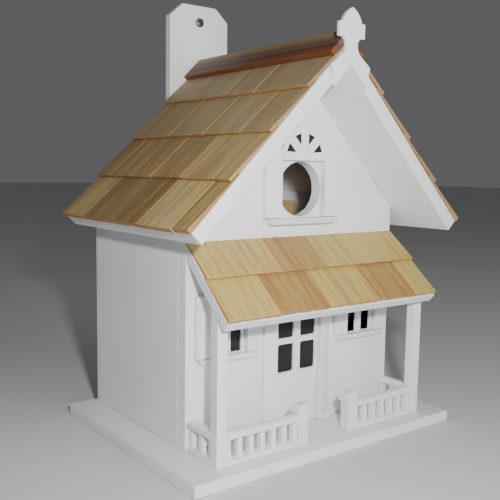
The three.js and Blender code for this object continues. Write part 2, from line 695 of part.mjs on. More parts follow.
function buildWindows() {
  const sillTop = FLOOR + WINDOW_Z;
  const z0 = sillTop + GAP;
  const z1 = z0 + WINDOW_H;
  for (const [name, side] of SIDES) {
    const x = side * WINDOW_X;
    const half = WINDOW_W / 2;
    const back = INSET_FRONT + FRAME_T;
    const frame = block(x - half, x + half, INSET_FRONT, back, z0, z1);
    const rim = FRAME_RAIL / 2;
    const pocket = block(x - half + rim, x + half - rim, back - PANE_T - GAP, back + 1,
      z0 + rim, z1 - rim);
    const lights = [
      [x - half + FRAME_EDGE, x - WINDOW_MUNTIN / 2],
      [x + WINDOW_MUNTIN / 2, x + half - FRAME_EDGE],
    ].map(([x0, x1]) => block(x0, x1, INSET_FRONT - 1, back + 1, z0 + FRAME_RAIL, z1 - FRAME_RAIL));
    add(`window_frame_${name}`, cut(frame, pocket, ...lights), PAINT);
    add(`window_panes_${name}`, block(x - half + rim + GAP, x + half - rim - GAP,
      back - PANE_T, back, z0 + rim + GAP, z1 - rim - GAP), BLACK);

    for (const [place, hand] of SIDES) {
      const near = x + hand * (half + GAP);
      const far = near + hand * SHUTTER_W;
      const [x0, x1] = [Math.min(near, far), Math.max(near, far)];
      add(`${name}_window_shutter_${place}`, block(x0, x1, FACE - SHUTTER_T, FACE, z0, z1), PAINT);
    }
    const reach = half + GAP + SHUTTER_W - SILL_SHORT;
    add(`window_sill_${name}`, sill(x, reach, sillTop, SILL_T, SILL_D, SILL_SLANT), PAINT);
  }
}

// ---------------------------------------------------------------- entry trim

function buildEntryTrim() {
  const z0 = ENTRY_SILL_TOP + GAP;
  for (const [name, side] of SIDES) {
    const near = side * ENTRY_SHUTTER_X;
    const far = side * (ENTRY_SHUTTER_X + ENTRY_SHUTTER_W);
    add(`entry_shutter_${name}`, block(Math.min(near, far), Math.max(near, far),
      FACE - ENTRY_TRIM_T, FACE, z0, HOLE_TOP + ENTRY_SHUTTER_RISE), PAINT);
  }
  add('entry_sill', sill(0, ENTRY_SHUTTER_X + ENTRY_SHUTTER_W - ENTRY_SILL_SHORT, ENTRY_SILL_TOP,
    ENTRY_SILL_T, ENTRY_SILL_D, ENTRY_SILL_SLANT), PAINT);

  const springing = FAN_Z + FAN_RISE;
  const arch = new THREE.Shape();
  arch.moveTo(-FAN_R, FAN_Z);
  arch.lineTo(FAN_R, FAN_Z);
  arch.lineTo(FAN_R, springing);
  arch.absarc(0, springing, FAN_R, 0, Math.PI, false);
  arch.lineTo(-FAN_R, FAN_Z);
  const centre = FAN_Z + FAN_LIGHT_CENTRE;
  const ray = (angle, radius) => [radius * Math.cos(rad(angle)), centre + radius * Math.sin(rad(angle))];
  const rays = Array.from({ length: FAN_RAYS }, (_, i) => {
    const middle = 90 + (i - (FAN_RAYS - 1) / 2) * FAN_SPREAD;
    return alongY(outline([
      ray(middle, FAN_R - FAN_RIM - FAN_RAY_L),
      ray(middle + FAN_HALF, FAN_R - FAN_RIM),
      ray(middle - FAN_HALF, FAN_R - FAN_RIM),
    ]), FACE - ENTRY_TRIM_T - 1, FACE + 1);
  });
  const pocketR = FAN_R - 1.2;
  const pocket = new THREE.Shape();
  pocket.moveTo(-pocketR, FAN_Z + 2);
  pocket.lineTo(pocketR, FAN_Z + 2);
  pocket.lineTo(pocketR, springing);
  pocket.absarc(0, springing, pocketR, 0, Math.PI, false);
  pocket.lineTo(-pocketR, FAN_Z + 2);
  const paneT = ENTRY_TRIM_T - FAN_DEPTH;
  const recess = alongY(pocket, FACE - paneT - GAP, FACE + 1);
  add('fanlight', cut(alongY(arch, FACE - ENTRY_TRIM_T, FACE), recess, ...rays), PAINT);

  const paneR = pocketR - GAP;
  const pane = new THREE.Shape();
  pane.moveTo(-paneR, FAN_Z + 2 + GAP);
  pane.lineTo(paneR, FAN_Z + 2 + GAP);
  pane.lineTo(paneR, springing);
  pane.absarc(0, springing, paneR, 0, Math.PI, false);
  pane.lineTo(-paneR, FAN_Z + 2 + GAP);
  add('fanlight_pane', alongY(pane, FACE - paneT, FACE), BLACK);
}

// ---------------------------------------------------------------- clean-out door

function buildCleanOut() {
  const x0 = -HATCH_W / 2 + HATCH_PLAY;
  const x1 = HATCH_W / 2 - HATCH_PLAY;
  add('clean_out_door', block(x0, x1, WALL_BACK - HATCH_T, WALL_BACK, HATCH_Z + HATCH_PLAY,
    HATCH_Z + HATCH_H - HATCH_PLAY), PAINT);

  const leafBack = WALL_BACK + GAP;
  const knuckle = HINGE_L / 3;
  const z0 = HINGE_Z - HINGE_L / 2;
  const bore = rodAlongZ(PIN_R + GAP, z0 - 1, z0 + HINGE_L + 1, HINGE_X, HINGE_Y, 16);
  const barrel = (from, to) => rodAlongZ(KNUCKLE_R, from, to, HINGE_X, HINGE_Y, 24);
  const lowEnd = z0 + knuckle - GAP / 2;
  const highEnd = z0 + 2 * knuckle + GAP / 2;

  const wallPlate = block(HINGE_X, HINGE_X + LEAF_W, leafBack, leafBack + LEAF_T, z0, z0 + HINGE_L);
  const wallNotch = block(HINGE_X - 1, HINGE_X + KNUCKLE_R + GAP, leafBack - 1, HINGE_Y + KNUCKLE_R + 1,
    lowEnd, highEnd);
  const wallBarrels = [barrel(z0, lowEnd), barrel(highEnd, z0 + HINGE_L)];
  add('hinge_leaf_wall', cut(join(cut(wallPlate, wallNotch), ...wallBarrels), bore), BRASS);

  const doorPlate = block(HINGE_X - LEAF_W, HINGE_X, leafBack, leafBack + LEAF_T, z0, z0 + HINGE_L);
  const doorNotches = [[z0 - 1, lowEnd + GAP], [highEnd - GAP, z0 + HINGE_L + 1]].map(([from, to]) => block(
    HINGE_X - KNUCKLE_R - GAP, HINGE_X + 1, leafBack - 1, HINGE_Y + KNUCKLE_R + 1, from, to));
  const doorBarrel = barrel(lowEnd + GAP, highEnd - GAP);
  add('hinge_leaf_door', cut(join(cut(doorPlate, ...doorNotches), doorBarrel), bore), BRASS);
  add('hinge_pin', rodAlongZ(PIN_R, z0, z0 + HINGE_L, HINGE_X, HINGE_Y, 16), STEEL);

  const buttonBack = WALL_BACK + GAP;
  const buttonFront = buttonBack + BUTTON_T;
  const shape = new THREE.Shape();
  const straight = (BUTTON_L - BUTTON_W) / 2;
  shape.absarc(BUTTON_X, HINGE_Z + straight, BUTTON_W / 2, 0, Math.PI, false);
  shape.absarc(BUTTON_X, HINGE_Z - straight, BUTTON_W / 2, Math.PI, 2 * Math.PI, false);
  const button = alongY(shape, buttonBack, buttonFront);
  const bearing = rodAlongY(SCREW_R + GAP, buttonBack - 1, buttonFront + 1, BUTTON_X, HINGE_Z, 16);
  add('turn_button', cut(button, bearing), PAINT);
  const seat = buttonFront + GAP;
  const head = rodAlongY(SCREW_HEAD_R, seat, seat + SCREW_HEAD_T, BUTTON_X, HINGE_Z, 20);
  const shank = rodAlongY(SCREW_R, WALL_BACK - SCREW_DEPTH, seat + SCREW_HEAD_T / 2, BUTTON_X, HINGE_Z, 16);
  add('turn_button_screw', join(head, shank), STEEL);
}

// ---------------------------------------------------------------- mounting board

function buildMountingBoard() {
  const front = ROOF_BACK + GAP;
  const back = front + BOARD_T;
  const half = BOARD_W / 2;
  const top = APEX_Z + BOARD_UP;
  const holeZ = top - BOARD_HOLE_DOWN;
  const board = outline([
    [-half, APEX_Z - BOARD_DOWN],
    [half, APEX_Z - BOARD_DOWN],
    [half, top - BOARD_CLIP_Z],
    [half - BOARD_CLIP_X, top],
    [-half + BOARD_CLIP_X, top],
    [-half, top - BOARD_CLIP_Z],
  ]);
  const bore = rodAlongY(MOUNT_SCREW_R + GAP, front - 1, back + 1, 0, holeZ, 20);
  add('mounting_board', cut(alongY(board, front, back), bore), PAINT);
  const head = rodAlongY(MOUNT_HEAD_R, front - GAP - MOUNT_HEAD_T, front - GAP, 0, holeZ, 24);
  const shank = rodAlongY(MOUNT_SCREW_R, front - GAP - MOUNT_HEAD_T / 2, back, 0, holeZ, 20);
  add('mounting_screw', join(head, shank), STEEL);
}

buildBase();
buildWalls();
buildRoofBoards();
buildShingles();
buildFinial();
buildPorchRoof();
buildPosts();
buildNewels();
buildFrontRailings();
buildSideRailings();
buildDoor();
buildWindows();
buildEntryTrim();
buildCleanOut();
buildMountingBoard();

// The origin goes under the middle of everything.
const reach = new THREE.Box3().setFromObject(birdhouse);
birdhouse.position.y = -(reach.min.y + reach.max.y) / 2;

export default birdhouse;
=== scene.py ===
# %% [markdown]
# # A cottage birdhouse
# The boards, posts and trim were drawn beforehand in a CAD model, and that model is the frame here:
# it says where everything goes. This lesson gives the house its looks. Painted boards get soft
# edges and brush marks, and each row of shingles is laid again as separate pieces of sawn wood.
# Everything is in metres, with the front of the house facing -Y.

# %% Load the frame
import math
import random

import bmesh
import bpy
from mathutils import Matrix, Vector, noise


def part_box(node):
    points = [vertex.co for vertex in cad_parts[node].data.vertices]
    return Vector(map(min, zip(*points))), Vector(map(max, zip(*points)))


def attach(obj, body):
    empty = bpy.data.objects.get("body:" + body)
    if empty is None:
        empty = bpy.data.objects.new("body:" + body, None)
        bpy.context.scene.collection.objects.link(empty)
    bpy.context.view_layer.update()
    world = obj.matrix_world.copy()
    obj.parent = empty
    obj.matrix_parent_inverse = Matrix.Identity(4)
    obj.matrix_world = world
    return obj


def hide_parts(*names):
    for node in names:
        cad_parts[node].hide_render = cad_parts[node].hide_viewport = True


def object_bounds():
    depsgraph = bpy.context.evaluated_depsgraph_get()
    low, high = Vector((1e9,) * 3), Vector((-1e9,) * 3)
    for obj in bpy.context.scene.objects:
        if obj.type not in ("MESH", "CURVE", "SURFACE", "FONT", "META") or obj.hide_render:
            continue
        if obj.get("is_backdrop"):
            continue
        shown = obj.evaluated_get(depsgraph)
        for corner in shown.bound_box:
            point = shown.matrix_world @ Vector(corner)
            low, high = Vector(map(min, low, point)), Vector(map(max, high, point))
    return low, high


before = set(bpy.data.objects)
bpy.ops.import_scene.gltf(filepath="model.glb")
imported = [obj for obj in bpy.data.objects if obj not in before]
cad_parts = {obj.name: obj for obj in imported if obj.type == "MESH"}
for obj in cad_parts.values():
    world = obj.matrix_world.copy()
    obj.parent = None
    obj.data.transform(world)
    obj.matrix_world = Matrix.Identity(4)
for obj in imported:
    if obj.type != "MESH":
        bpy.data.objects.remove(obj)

MM = 0.001
cad_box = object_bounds()
print("the house measures", [round((b - a) / MM, 1) for a, b in zip(*cad_box)], "mm")

# %% [markdown]
# ## Camera
# The camera comes first, because every later choice is judged through it. It stands a little
# above the porch, to the left of the front, and looks slightly down. A camera's matrix is built
# from three directions: its right, its up, and the way back towards the viewer.

# %% Camera
CAMERA_PLACE = Vector((-0.32897, -0.42063, 0.19009))
CAMERA_TURN = {"yaw": math.radians(37.20), "pitch": math.radians(-6.42), "roll": math.radians(0.85)}
LENS_MM = 51.23
FILM_WIDTH_MM = 36


def camera_matrix(place, yaw, pitch, roll):
    ahead = Vector((math.sin(yaw) * math.cos(pitch), math.cos(yaw) * math.cos(pitch), math.sin(pitch)))
    level = Vector((math.cos(yaw), -math.sin(yaw), 0))
    upright = level.cross(ahead)
    right = level * math.cos(roll) + upright * math.sin(roll)
    up = upright * math.cos(roll) - level * math.sin(roll)
    matrix = Matrix((right, up, -ahead)).transposed().to_4x4()
    matrix.translation = place
    return matrix


lens = bpy.data.cameras.new("camera")
lens.sensor_width = FILM_WIDTH_MM
lens.lens = LENS_MM
camera = bpy.data.objects.new("camera", lens)
camera.matrix_world = camera_matrix(CAMERA_PLACE, **CAMERA_TURN)
bpy.context.scene.collection.objects.link(camera)
bpy.context.scene.camera = camera
print("camera looks along", [round(c, 3) for c in -camera.matrix_world.col[2].xyz])

# %% [markdown]
# ## Shader sums
# A finish is a small network of nodes. Writing it as plain sums keeps it readable: this class
# wraps one output socket, and +, -, * and / add Math nodes. Every other node comes from one
# method, which sets the node up first and then fills its sockets with numbers or links.

# %% A socket that can be used in sums
class Link:
    tree = None

    def __init__(self, socket):
        self.socket = socket

    @classmethod
    def node(cls, kind, settings=None, values=None, output=0):
        made = cls.tree.nodes.new(kind)
        for name, value in (settings or {}).items():
            if name == "stops":
                cls.set_stops(made.color_ramp, value)
            else:
                setattr(made, name, value)
        for key, value in (values or {}).items():
            if isinstance(value, cls):
                cls.tree.links.new(value.socket, made.inputs[key])
            else:
                made.inputs[key].default_value = value
        return cls(made.outputs[output]) if made.outputs else None

    @staticmethod
    def set_stops(ramp, stops):
        while len(ramp.elements) < len(stops):
            ramp.elements.new(1.0)
        for element, (place, colour) in zip(ramp.elements, stops):
            element.position = place
            element.color = (*colour, 1.0)

    def math(self, operation, other, flipped=False):
        first, second = (other, self) if flipped else (self, other)
        return Link.node("ShaderNodeMath", {"operation": operation}, {0: first, 1: second})

    def __add__(self, other):
        return self.math("ADD", other)

    def __sub__(self, other):
        return self.math("SUBTRACT", other)

    def __rsub__(self, other):
        return self.math("SUBTRACT", other, flipped=True)

    def __mul__(self, other):
        return self.math("MULTIPLY", other)

    def __truediv__(self, other):
        return self.math("DIVIDE", other)

    def __rtruediv__(self, other):
        return self.math("DIVIDE", other, flipped=True)

    __radd__ = __add__
    __rmul__ = __mul__


# %% [markdown]
# ## Helpers for finishes
# Every piece carries its own coordinates, in millimetres, in an attribute called "grain": x runs
# along the wood's fibres, y across the board and z through it. A pattern that uses them lies the
# right way on each board, whichever way the board points. A second attribute, "edge", is 1 on the
# rounded corners. Shingles have three more: "tone" and "faded", one number each for a whole
# shingle, and "end", which marks its sawn ends and sides.

# %% Patterns in the wood's own directions
def attribute(name, output="Fac"):
    return Link.node("ShaderNodeAttribute", {"attribute_name": name}, output=output)


def stretched(vector, along, across, through):
    values = {0: vector, 1: (along, across, through)}
    return Link.node("ShaderNodeVectorMath", {"operation": "MULTIPLY"}, values)


def direction(vector, letter):
    return Link.node("ShaderNodeSeparateXYZ", {}, {0: vector}, output=letter)


def cloud(vector, detail=2.0, roughness=0.5):
    values = {"Vector": vector, "Scale": 1.0, "Detail": detail, "Roughness": roughness}
    return Link.node("ShaderNodeTexNoise", {}, values, output="Fac")


def between(value, low, high):
    values = {"Value": value, "From Min": low, "From Max": high}
    return Link.node("ShaderNodeMapRange", {"interpolation_type": "SMOOTHSTEP"}, values)


def blended(factor, first, second, mode="MIX"):
    first, second = [(*c, 1.0) if isinstance(c, tuple) else c for c in (first, second)]
    settings = {"data_type": "RGBA", "blend_type": mode}
    return Link.node("ShaderNodeMix", settings, {0: factor, 6: first, 7: second}, output=2)


def ramp(value, stops):
    return Link.node("ShaderNodeValToRGB", {"stops": stops}, {"Fac": value})


def bumped(height, depth_mm, strength=1.0):
    values = {"Height": height, "Distance": depth_mm * MM, "Strength": strength}
    return Link.node("ShaderNodeBump", {}, values)


# %% [markdown]
# Every finish starts with an empty network and ends in the same shader, so both steps are written
# once. A number goes straight onto the shader's own socket, and a pattern is linked to it.

# %% Starting and closing a finish
def start_finish(name):
    material = bpy.data.materials.new(name)
    material.use_nodes = True
    material.node_tree.nodes.clear()
    Link.tree = material.node_tree
    return material


def close_finish(colour, roughness, normal, metallic=0.0):
    values = {"Base Color": colour, "Roughness": roughness, "Normal": normal, "Metallic": metallic}
    shader = Link.node("ShaderNodeBsdfPrincipled", {}, values)
    Link.node("ShaderNodeOutputMaterial", {}, {"Surface": shader})


# %% [markdown]
# ## White trim paint
# The house is brushed or sprayed with white semi-gloss paint over wood. Real paint is never one
# flat white: it is a touch greyer where it lies thin, it keeps faint brush lines along the board,
# and it rubs thin on corners. All three are small here, because the paint is nearly new.

# %% White paint
def white_paint(name, white):
    material = start_finish(name)
    grain = attribute("grain", "Vector")
    patches = cloud(stretched(grain, 0.02, 0.03, 0.03), detail=3.0)
    strokes = cloud(stretched(grain, 0.03, 1.1, 1.1), detail=3.0, roughness=0.6)
    peel = cloud(stretched(grain, 0.9, 0.9, 0.9), detail=2.0)
    specks = between(cloud(stretched(grain, 0.35, 0.5, 0.5), detail=4.0, roughness=0.7), 0.70, 0.78)
    worn = attribute("edge") * between(cloud(stretched(grain, 0.12, 0.3, 0.3), detail=3.0), 0.52, 0.66)
    thin = tuple(c * f for c, f in zip(white, (0.90, 0.91, 0.92)))
    colour = blended(between(patches, 0.3, 0.75) * 0.7, white, thin)
    colour = blended(between(strokes, 0.45, 0.8) * 0.25, colour, thin)
    colour = blended(specks * 0.18, colour, (0.45, 0.43, 0.40))
    colour = blended(worn * 0.35, colour, (0.50, 0.46, 0.40))
    roughness = 0.34 + patches * 0.16 + worn * 0.15
    height = strokes * 0.65 + peel * 0.35
    close_finish(colour, roughness, bumped(height, 0.10, 0.55))
    return material


paint = white_paint("white_paint", (0.79, 0.805, 0.83))
print("paint nodes:", len(paint.node_tree.nodes))

# %% [markdown]
# ## Bare wood
# Inside the nest box the boards are left bare, so that young birds can climb them. The growth
# rings come from one idea that every wood here shares: a board is a flat slice through a log, so
# rings show as long bands, bent by slow noise, with a sharp dark line at the end of each year.

# %% Growth bands and fibres
def growth_bands(grain, spacing):
    drift = cloud(stretched(grain, 0.006, 0.03, 0.03), detail=2.0) * 3.2
    turns = direction(grain, "Y") / spacing + drift
    year = Link.node("ShaderNodeMath", {"operation": "FRACT"}, {0: turns})
    return between(year, 0.35, 0.96) * (1 - between(year, 0.965, 1.0))


def fibres(grain):
    return cloud(stretched(grain, 0.030, 2.6, 2.6), detail=3.0, roughness=0.65)


# %% [markdown]
# Paint sprayed at the front goes in through the entry hole as a mist. A soft mask on height and
# depth whitens all of the inside above a line, and thins the white out below it and further back.

# %% Bare wood with paint mist
MIST_LINE = 164
MIST_DEPTH = 61


def paint_mist(grain):
    height_up = direction(grain, "X")
    uneven = cloud(stretched(grain, 0.15, 0.15, 0.15), detail=3.0) * 8 - 4
    reach = MIST_DEPTH - (MIST_LINE - height_up) * 1.5 - direction(grain, "Z") + uneven
    near = between(reach, -3.0, 3.0) * between(height_up, 105.0, 140.0)
    return 1 - (1 - near) * (1 - between(height_up, MIST_LINE - 1.0, MIST_LINE + 0.6))


def bare_wood(name, light, dark, spacing):
    material = start_finish(name)
    grain = attribute("grain", "Vector")
    bands = growth_bands(grain, spacing)
    fibre = fibres(grain)
    colour = blended(bands * 0.6 + fibre * 0.25, light, dark)
    colour = blended(paint_mist(grain) * 0.94, colour, (0.72, 0.72, 0.75))
    height = fibre * 0.7 + bands * 0.3
    close_finish(colour, 0.62 + fibre * 0.2, bumped(height, 0.12, 0.6))
    return material


bare = bare_wood("bare_wood", (0.58, 0.41, 0.23), (0.38, 0.23, 0.11), 4.5)
print("bare wood nodes:", len(bare.node_tree.nodes))

# %% [markdown]
# ## Cedar shingles
# Each shingle is a slice of a different board, from pale sapwood to brown heartwood, so the roof
# is a patchwork. The tone of a whole shingle comes from its "tone" attribute. Rings and fibres run
# up the slope, the weather greys the wood a little, and the sawn lower end is darker and rougher
# because it drinks the stain.

# %% Cedar
def shingle_wood(name, stops, spacing, ring, stain, grey, gloss, rim_tan_and_highlight, end_colour):
    material = start_finish(name)
    grain = attribute("grain", "Vector")
    tone = attribute("tone")
    end = attribute("end")
    bands = growth_bands(grain, spacing)
    fibre = fibres(grain)
    wide = cloud(stretched(grain, 0.006, 0.10, 0.10), detail=2.0, roughness=0.5)
    streaks = between(cloud(stretched(grain, 0.020, 0.75, 0.75), detail=3.0, roughness=0.6), 0.42, 0.68)
    pores = between(cloud(stretched(grain, 0.07, 4.5, 4.5), detail=2.0), 0.58, 0.74)
    colour = ramp(tone + (wide - 0.5) * 0.75, stops)
    shown = between(wide, 0.40, 0.60) * 0.7 + between(tone, 0.2, 0.8) * 0.3 + 0.1
    colour = blended(bands * shown * ring, colour, stain, "MULTIPLY")
    colour = blended(streaks * 0.55, colour, (0.66, 0.56, 0.46), "MULTIPLY")
    colour = blended((fibre - 0.35) * 0.9, colour, (0.66, 0.57, 0.46), "MULTIPLY")
    colour = blended(pores * 0.30, colour, stain)
    weather = between(cloud(stretched(grain, 0.02, 0.06, 0.06), detail=3.0), 0.45, 0.8)
    colour = blended(weather * grey, colour, (0.30, 0.25, 0.16))
    colour = blended(attribute("faded") * 0.55, colour, (0.34, 0.275, 0.17))
    ragged = cloud(stretched(grain, 0.6, 0.9, 1.6), detail=3.0, roughness=0.7)
    colour = blended(end * 0.85, colour, end_colour)
    colour = blended(end * between(ragged, 0.45, 0.7) * 0.7, colour, stain)
    # Rounded rims are blended to a lighter tan: partly rubbed wood, partly a painted highlight where light
    # catches the seams and butts.
    rubbed_and_highlit_rims = attribute("edge") * between(cloud(stretched(grain, 0.2, 0.5, 0.5), detail=2.0), 0.40, 0.62)
    colour = blended(rubbed_and_highlit_rims * 0.5, colour, rim_tan_and_highlight)
    roughness = gloss + fibre * 0.2 + end * 0.1
    saw = cloud(stretched(grain, 1.2, 0.25, 1.8), detail=3.0, roughness=0.7)
    height = fibre * 0.55 + bands * 0.2 + streaks * -0.15 + pores * -0.3 + end * saw * 1.6
    close_finish(colour, roughness, bumped(height, 0.22, 0.85))
    return material


CEDAR_STOPS = [
    (0.0, (0.62, 0.49, 0.24)), (0.35, (0.43, 0.31, 0.125)),
    (0.7, (0.27, 0.18, 0.07)), (1.0, (0.16, 0.095, 0.033))]
cedar = shingle_wood(
    "cedar_shingle", CEDAR_STOPS, spacing=5.5, ring=0.40, stain=(0.42, 0.24, 0.09), grey=0.30, gloss=0.48,
    rim_tan_and_highlight=(0.78, 0.60, 0.32), end_colour=(0.38, 0.19, 0.06))
print("cedar nodes:", len(cedar.node_tree.nodes))

# %% [markdown]
# The porch has pine, which needs no new network: the rings are wider, nothing has gone grey, and
# the smooth-sawn face is glossier.

# %% Pine
PINE_STOPS = [
    (0.0, (0.53, 0.415, 0.135)), (0.45, (0.47, 0.34, 0.105)),
    (0.75, (0.41, 0.26, 0.085)), (1.0, (0.31, 0.18, 0.058))]
pine = shingle_wood(
    "pine_shingle", PINE_STOPS, spacing=9.0, ring=0.50, stain=(0.62, 0.38, 0.20), grey=0.0, gloss=0.34,
    rim_tan_and_highlight=(0.85, 0.70, 0.36), end_colour=(0.40, 0.21, 0.07))
print("pine nodes:", len(pine.node_tree.nodes))

# %% [markdown]
# ## Ridge strips
# The two strips over the ridge are a redder cedar, cut so that the board's dark heart runs along
# the lower edge. Their colour changes across the strip, so it comes from the "grain" attribute's y.

# %% Ridge cedar
RIDGE_STRIP_W = 18.0


def ridge_wood(name, width_mm):
    material = start_finish(name)
    grain = attribute("grain", "Vector")
    across = direction(grain, "Y") / width_mm
    wobble = cloud(stretched(grain, 0.02, 0.1, 0.1), detail=3.0)
    fibre = fibres(grain)
    place = across + (wobble - 0.5) * 0.30
    colour = ramp(place, [
        (0.0, (0.17, 0.055, 0.018)), (0.30, (0.13, 0.040, 0.014)), (0.40, (0.06, 0.030, 0.020)),
        (0.52, (0.16, 0.095, 0.05)), (0.62, (0.10, 0.055, 0.035)), (1.0, (0.26, 0.18, 0.08))])
    colour = blended((fibre - 0.3) * 0.9, colour, (0.6, 0.48, 0.38), "MULTIPLY")
    close_finish(colour, 0.45 + fibre * 0.2, bumped(fibre, 0.18, 0.8))
    return material


ridge_cedar = ridge_wood("ridge_cedar", RIDGE_STRIP_W)
print("ridge cedar nodes:", len(ridge_cedar.node_tree.nodes))

# %% [markdown]
# ## Dark lights, brass and steel
# The window and door lights are thin boards painted black, seen through the frames. Brushed-on
# black picks up dust, so its roughness varies. The hinge is dull brass and the screws are zinc
# plated: metal shows mostly through the way its roughness changes.

# %% Black paint and metals
def black_paint(name):
    material = start_finish(name)
    grain = attribute("grain", "Vector")
    dust = cloud(stretched(grain, 0.15, 0.15, 0.15), detail=4.0, roughness=0.65)
    colour = blended(between(dust, 0.5, 0.9) * 0.3, (0.004, 0.004, 0.006), (0.02, 0.02, 0.024))
    close_finish(colour, 0.55 + dust * 0.25, bumped(dust, 0.05, 0.4))
    return material


def plated_metal(name, bright, dull, rough):
    material = start_finish(name)
    grain = attribute("grain", "Vector")
    tarnish = cloud(stretched(grain, 0.25, 0.25, 0.25), detail=4.0, roughness=0.6)
    scratches = cloud(stretched(grain, 0.2, 6.0, 6.0), detail=2.0)
    worn = attribute("edge")
    colour = blended(between(tarnish, 0.4, 0.7) * (1 - worn * 0.6), bright, dull)
    close_finish(colour, rough + tarnish * 0.25, bumped(scratches, 0.02, 0.5), metallic=1.0)
    return material


black = black_paint("black_pane")
brass = plated_metal("hinge_brass", (0.62, 0.44, 0.18), (0.30, 0.20, 0.09), 0.22)
steel = plated_metal("screw_steel", (0.20, 0.20, 0.21), (0.05, 0.05, 0.055), 0.30)
print("dark finishes:", [m.name for m in (black, brass, steel)])

# %% [markdown]
# ## Softening the CAD shapes
# CAD edges are perfectly sharp, and no real board is. Each board is copied from its CAD shape into
# a new mesh: corners are joined, flat triangles are merged into whole faces, and the sharp edges
# get a small round.

# %% Copying and softening one CAD shape
def cad_copy(node):
    shape = bmesh.new()
    shape.from_mesh(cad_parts[node].data)
    shape.transform(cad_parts[node].matrix_world)
    bmesh.ops.remove_doubles(shape, verts=shape.verts, dist=0.005 * MM)
    bmesh.ops.dissolve_limit(shape, angle_limit=math.radians(0.5), verts=shape.verts, edges=shape.edges)
    return shape


def soften(shape, radius_mm, segments=2, sharp=28):
    edges = [e for e in shape.edges if e.is_manifold and e.calc_face_angle(0) > math.radians(sharp)]
    rounded = bmesh.ops.bevel(
        shape, geom=edges, offset=radius_mm * MM, segments=segments, profile=0.5,
        affect="EDGES", clamp_overlap=True, loop_slide=True)
    return set(rounded["faces"])


post = cad_copy("porch_post_left")
print("a porch post has", len(post.faces), "faces before its edges are rounded", end=", ")
soften(post, 0.35)
print("and", len(post.faces), "after")
post.free()

# %% [markdown]
# ## Coordinates and placing
# The copy then gets its coordinates and its edge mask. A point is on a rounded corner when every
# face round it is one of the new ones. A weighted-normal modifier, added later with the object,
# keeps the flat faces looking flat next to the rounds.

# %% Writing the attributes
GRAIN_AXES = {"x": (0, 1, 2), "y": (1, 0, 2), "z": (2, 0, 1)}


def write_numbers(mesh, name, numbers, domain="POINT"):
    mesh.attributes.new(name, "FLOAT", domain).data.foreach_set("value", numbers)


def write_grain(mesh, points):
    grain = mesh.attributes.new("grain", "FLOAT_VECTOR", "POINT")
    grain.data.foreach_set("vector", [c for point in points for c in point])


def edged_mesh(name, shape, rounds):
    edge = [1.0 if all(f in rounds for f in v.link_faces) else 0.0 for v in shape.verts]
    mesh = bpy.data.meshes.new(name)
    shape.to_mesh(mesh)
    shape.free()
    write_numbers(mesh, "edge", edge)
    return mesh


def finished_mesh(name, shape, rounds, along, material, inside=None):
    mesh = edged_mesh(name, shape, rounds)
    points = [v.co / MM for v in mesh.vertices]
    write_grain(mesh, [[p[axis] for axis in GRAIN_AXES[along]] for p in points])
    mesh.materials.append(material)
    if inside:
        mesh.materials.append(bare)
        for face in mesh.polygons:
            face.material_index = 1 if inside(face) else 0
    return mesh


# %% [markdown]
# A piece is an object with that mesh. It is shaded smooth, but kept sharp where two faces meet at
# more than a set angle. Then it is told which body it rides on and which CAD nodes it stands for,
# so that those are hidden.

# %% Placing a piece
SHARP_ANGLE = math.radians(40)


def place(name, mesh, body, slot, *nodes):
    mesh.shade_smooth()
    mesh.set_sharp_from_angle(angle=SHARP_ANGLE)
    piece = bpy.data.objects.new(name, mesh)
    bpy.context.scene.collection.objects.link(piece)
    piece.modifiers.new("flat_faces", "WEIGHTED_NORMAL").keep_sharp = True
    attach(piece, body)
    if nodes:
        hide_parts(*nodes)
    return piece


def low_high(node):
    low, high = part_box(node)
    return [c / MM for c in low], [c / MM for c in high]


print("the base board reaches from", *[[round(c, 1) for c in corner] for corner in low_high("base_board")])

# %% [markdown]
# ## Painted boards and trim
# Nearly every other piece is a board, post or strip under the same white paint, so one table is
# enough: the CAD node, how round its edges are, and which way its fibres run.

# %% Painted pieces
PAINTED = {
    "base_board": (0.8, "x"),
    "roof_board_left": (0.7, "y"), "roof_board_right": (0.7, "y"),
    "porch_roof_board": (0.5, "x"), "finial": (0.7, "z"),
    "porch_post_left": (0.35, "z"), "porch_post_right": (0.35, "z"),
    "newel_post_left": (0.3, "z"), "newel_post_right": (0.3, "z"),
    "front_handrail_left": (0.4, "x"), "front_handrail_right": (0.4, "x"),
    "front_balustrade_left": (0.3, "z"), "front_balustrade_right": (0.3, "z"),
    "side_railing_left": (0.35, "z"), "side_railing_right": (0.35, "z"),
    "door_panel": (0.3, "z"), "door_jamb_left": (0.4, "z"), "door_jamb_right": (0.4, "z"),
    "window_frame_left": (0.3, "z"), "window_frame_right": (0.3, "z"),
    "left_window_shutter_left": (0.5, "z"), "left_window_shutter_right": (0.5, "z"),
    "right_window_shutter_left": (0.5, "z"), "right_window_shutter_right": (0.5, "z"),
    "window_sill_left": (0.4, "x"), "window_sill_right": (0.4, "x"),
    "entry_shutter_left": (0.5, "z"), "entry_shutter_right": (0.5, "z"),
    "entry_sill": (0.5, "x"), "fanlight": (0.3, "x"), "mounting_board": (0.7, "z"),
}
for node, (radius, along) in PAINTED.items():
    shape = cad_copy(node)
    rounds = soften(shape, radius)
    mesh = finished_mesh(node + "_painted", shape, rounds, along, paint)
    place(node + "_painted", mesh, "house", "white_paint", node)
print(len(PAINTED), "painted pieces")

# %% [markdown]
# ## The walls
# The drill tore the wood a little where it came out on the nest side, so the points on that rim of
# the entry hole are pulled in by uneven amounts. Real splinters would be finer, but through a hole
# this small only the uneven rim shows.

# %% Tearing the hole's inner rim
HOLE_Z = 177.3
HOLE_R = 19.05
RIM_REACH = 0.8
TEAR = 0.06


